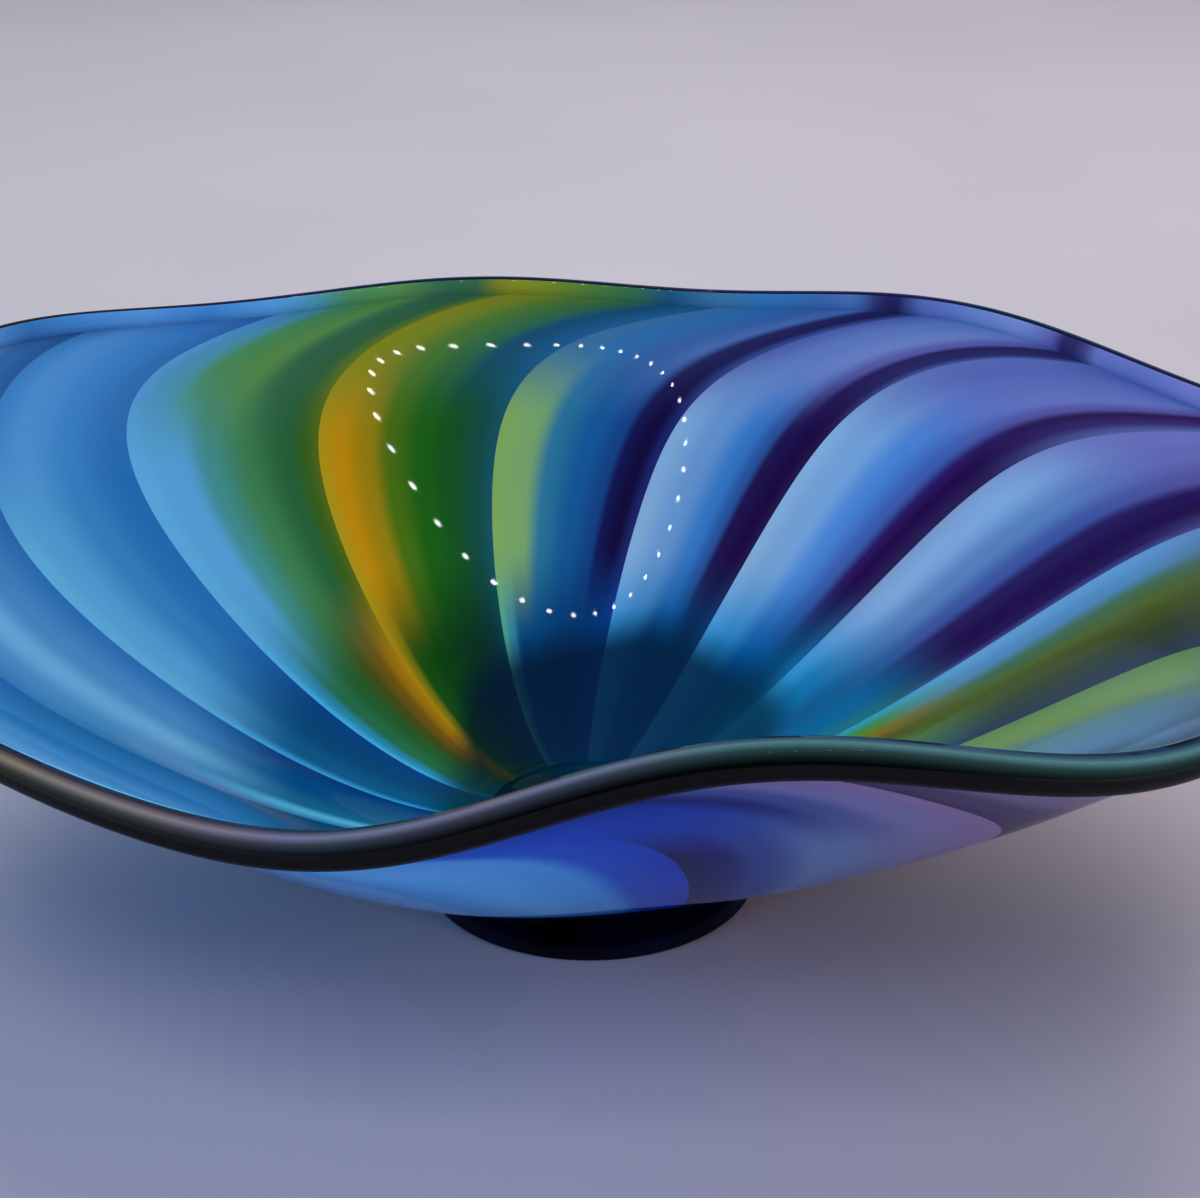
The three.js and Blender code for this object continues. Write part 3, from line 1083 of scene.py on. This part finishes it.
@dataclass
class LipBead:
    """The rolled lip, which carries the bars' colours, and the dark wrap over its top and outside.

    Args:
        form: The bowl's shape.
        radius: Mean radius of the bead.
        swell: How much thicker it is at swell_bearing, and thinner opposite.
        split: Angle of the line between roll and wrap, from the inside towards the top, in degrees.
        blend: How far the shading of its inner side leans towards the wall's, so that they run together.
        columns: Steps around the lip.
        steps: Points along half of the bead's section.
    """

    form: BowlForm
    radius: float = 4.4 * MM
    swell: float = 0.9 * MM
    swell_bearing: float = 275
    split: float = 30
    blend: float = 3
    columns: int = 720
    steps: int = 14

    def half(self, name: str, start: float) -> Piece:
        """Sweep half a circle along the lip, its radius a cosine around the bowl.

        Args:
            name: Name of the piece.
            start: Angle where the half circle starts, in degrees.

        Returns:
            The half bead, closed along its flat side.
        """
        bearing = np.linspace(0, FULL_TURN, self.columns, endpoint=False)
        top = np.ones_like(bearing)
        angle = self.form.angle(top, bearing)
        centre, normal = self.form.plain(top, angle), self.form.normal(top, angle)
        around = np.roll(centre, -1, 0) - np.roll(centre, 1, 0)
        around /= np.linalg.norm(around, axis=-1, keepdims=True)
        upward = np.cross(around, normal)
        turn = np.radians(start) + np.linspace(0, np.pi, self.steps)
        radius = self.radius + self.swell * np.cos(angle - math.radians(self.swell_bearing))
        spoke = np.cos(turn)[None, :, None] * normal[:, None] + np.sin(turn)[None, :, None] * upward[:, None]
        points = centre[:, None] + radius[:, None, None] * spoke
        j, i = np.meshgrid(np.arange(self.columns), np.arange(self.steps), indexing="ij")
        ahead, beside = (j + 1) % self.columns, (i + 1) % self.steps
        n = self.steps
        faces = np.stack([j * n + i, j * n + beside, ahead * n + beside, ahead * n + i], -1)
        uv = np.stack([np.repeat(bearing / FULL_TURN, n), np.tile(turn / (2 * np.pi), self.columns)], -1)
        towards_wall = self.blend * np.clip(np.cos(turn), 0, 1)[None, :, None] * normal[:, None]
        shading = spoke + towards_wall
        shading /= np.linalg.norm(shading, axis=-1, keepdims=True)
        return Piece(name, points.reshape(-1, 3), faces.reshape(-1, 4), uv, shading.reshape(-1, 3))

    def build(self) -> None:
        """Make the dark wrap and the rolled lip under it."""
        wrap = self.half("lip_wrap_glass", self.split)
        wrap.build(BlackLipGlass().material(), "lip_wrap", "lip_wrap")
        roll = self.half("lip_roll_glass", self.split + 180)
        roll.build(RolledLipGlass().material(), "clear_glass", "lip_roll")


@dataclass
class Foot:
    """The applied disc foot: a ground flat underside, a rounded edge and a hollow waist.

    Args:
        form: The bowl's shape.
        radius: Radius of the disc.
        edge_height: Height of the disc's rim.
        edge_round: Radius of the round at its lower edge.
        shoulder_start: How many edge rounds in from the rim the shoulder turns inwards.
        waist_radius: Radius of the waist.
        waist_height: Height of the waist.
        pad_radius: Radius of the pad that holds the floor.
        segments: Steps around the foot.
        steps: Points along each curve of its outline.
        flat_steps: Points along its underside.
    """

    form: BowlForm
    radius: float = 53.5 * MM
    edge_height: float = 5 * MM
    edge_round: float = 1.5 * MM
    shoulder_start: float = 3
    waist_radius: float = 29 * MM
    waist_height: float = 12.5 * MM
    pad_radius: float = 31 * MM
    segments: int = 192
    steps: int = 24
    flat_steps: int = 8

    def build(self) -> None:
        """Make the foot as a turned solid from a smooth outline."""
        t = np.linspace(0, 1, self.steps)[:, None]
        r = self.edge_round
        low = [np.array(p) for p in ((self.radius - r, 0), (self.radius, 0), (self.radius, r))]
        edge = (1 - t) ** 2 * low[0] + 2 * t * (1 - t) * low[1] + t**2 * low[2]
        high = [
            np.array(p)
            for p in (
                (self.radius - r, self.edge_height),
                (self.radius - self.shoulder_start * r, self.edge_height + r),
                (self.waist_radius, self.edge_height + r),
                (self.waist_radius, self.waist_height),
            )
        ]
        shoulder = (
            (1 - t) ** 3 * high[0]
            + 3 * t * (1 - t) ** 2 * high[1]
            + 3 * t**2 * (1 - t) * high[2]
            + t**3 * high[3]
        )
        top = self.form.floor_height + Depth.CASING_OUT.value
        flat = np.linspace(0, self.radius - 2 * r, self.flat_steps)[:, None] * [1, 0]
        cap = np.array([[self.pad_radius, top], [self.pad_radius / 2, top], [0, top]])
        outline = np.concatenate([flat, edge, shoulder, cap])
        foot = turned("foot_glass", outline, self.segments)
        foot.build(NavyFootGlass().material(), "foot", "foot")


# --------------------------------------------------------------------------------------------
# Studio
# --------------------------------------------------------------------------------------------


@dataclass(frozen=True)
class Softbox:
    """One square softbox that faces the bowl and that the glass doesn't mirror.

    Args:
        name: Name of the lamp.
        place: Where it hangs.
        size: Length of its side.
        tint: sRGB hex colour of its light.
        power: Its power in watts.
    """

    name: str
    place: tuple[float, float, float]
    size: float
    tint: str
    power: float

    def hang(self, target: Vector) -> None:
        """Make the lamp, turned to the target."""
        data = bpy.data.lights.new(self.name, "AREA")
        data.shape = "SQUARE"
        data.size = self.size
        data.energy = self.power
        data.color = linear(self.tint)[:3]
        lamp = bpy.data.objects.new(self.name, data)
        lamp.location = self.place
        lamp.visible_glossy = False
        lamp.rotation_euler = (target - Vector(self.place)).to_track_quat("-Z", "Y").to_euler()
        bpy.context.scene.collection.objects.link(lamp)


@dataclass
class Studio:
    """Pale floor, soft lights and the camera.

    Args:
        softboxes: The key light over the back, and the fills at the left, right and front.
        target: Where the camera and the lights look.
        distance: How far the camera stands from there.
        elevation: Its angle above the table, in radians.
        lens: Its focal length in millimetres.
        floor_size: Side of the square floor.
        bulbs: How many small bulbs hang in a ring over the bowl.
        bulb_radius: Radius of one bulb.
        bulb_power: Its power in watts.
        ring_radius: Radius of the ring.
        ring_centre: Middle of the ring.
    """

    softboxes: tuple[Softbox, ...] = (
        Softbox("key_light", (0.2, 1.1, 1.9), 1.8, "#FFFAF2", 40),
        Softbox("left_light", (-1.5, -1.0, 0.6), 1.0, "#94C8FF", 22),
        Softbox("right_light", (1.5, -1.0, 0.6), 1.0, "#FFE0E8", 15),
        Softbox("front_light", (-0.2, -1.3, 1.9), 1.0, "#FFFFFF", 13),
    )
    target: Vector = field(default_factory=lambda: Vector((3.2 * MM, 0, 96.7 * MM)))
    distance: float = 736 * MM
    elevation: float = math.radians(25)
    lens: float = 72
    floor_size: float = 8
    bulbs: int = 36
    bulb_radius: float = 6 * MM
    bulb_power: float = 0.045
    ring_radius: float = 360 * MM
    ring_centre: Vector = field(default_factory=lambda: Vector((70 * MM, -300 * MM, 1200 * MM)))

    def build(self) -> None:
        """Make the floor, the lights, the sky and the camera."""
        self.floor()
        for softbox in self.softboxes:
            softbox.hang(self.target)
        self.ring_light()
        bpy.context.scene.world = self.sky()
        self.camera()

    def sky(self) -> bpy.types.World:
        """Make the sky: one dim, cool tone."""
        world = bpy.data.worlds.new("studio_sky")
        world.use_nodes = True
        back = world.node_tree.nodes["Background"]
        back.inputs["Color"].default_value = linear("#A8B4D8")
        back.inputs["Strength"].default_value = 0.22
        return world

    def ring_light(self) -> None:
        """Hang a ring of small bulbs over the bowl, which the glass mirrors as a string of glints."""
        for turn in np.linspace(0, 2 * np.pi, self.bulbs, endpoint=False):
            data = bpy.data.lights.new("ring_bulb", "POINT")
            data.shadow_soft_size = self.bulb_radius
            data.energy = self.bulb_power
            bulb = bpy.data.objects.new("ring_bulb", data)
            bulb.location = self.ring_centre + self.ring_radius * Vector((math.cos(turn), math.sin(turn), 0))
            bpy.context.scene.collection.objects.link(bulb)

    def floor(self) -> None:
        """Make the pale floor, with a faint tone across it."""
        half = self.floor_size / 2
        mesh = bpy.data.meshes.new("studio_floor")
        corners = [(-half, -half, 0), (half, -half, 0), (half, half, 0), (-half, half, 0)]
        mesh.from_pydata(corners, [], [(0, 1, 2, 3)])
        mesh.materials.append(PalePaper().material())
        plane = bpy.data.objects.new("studio_floor", mesh)
        bpy.context.scene.collection.objects.link(plane)

    def camera(self) -> None:
        """Stand the camera in front of the bowl, looking down at it."""
        data = bpy.data.cameras.new("camera")
        data.lens = self.lens
        eye = bpy.data.objects.new("camera", data)
        back = Vector((0, -math.cos(self.elevation), math.sin(self.elevation)))
        eye.location = self.target + back * self.distance
        eye.rotation_euler = (-back).to_track_quat("-Z", "Y").to_euler()
        bpy.context.scene.collection.objects.link(eye)
        bpy.context.scene.camera = eye


def main() -> None:
    """Build the bowl and the studio."""
    logging.basicConfig(level=logging.INFO, format="%(name)s: %(message)s")
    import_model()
    form = BowlForm()
    for part in (Studio(), Swirl(form), Casing(form), CentrePool(form), LipBead(form), Foot(form)):
        part.build()
        LOG.info("built %s", type(part).__name__)
    bpy.context.scene.view_settings.view_transform = "Standard"
    bpy.context.scene.view_settings.look = "Medium High Contrast"


if __name__ == "__main__":
    main()
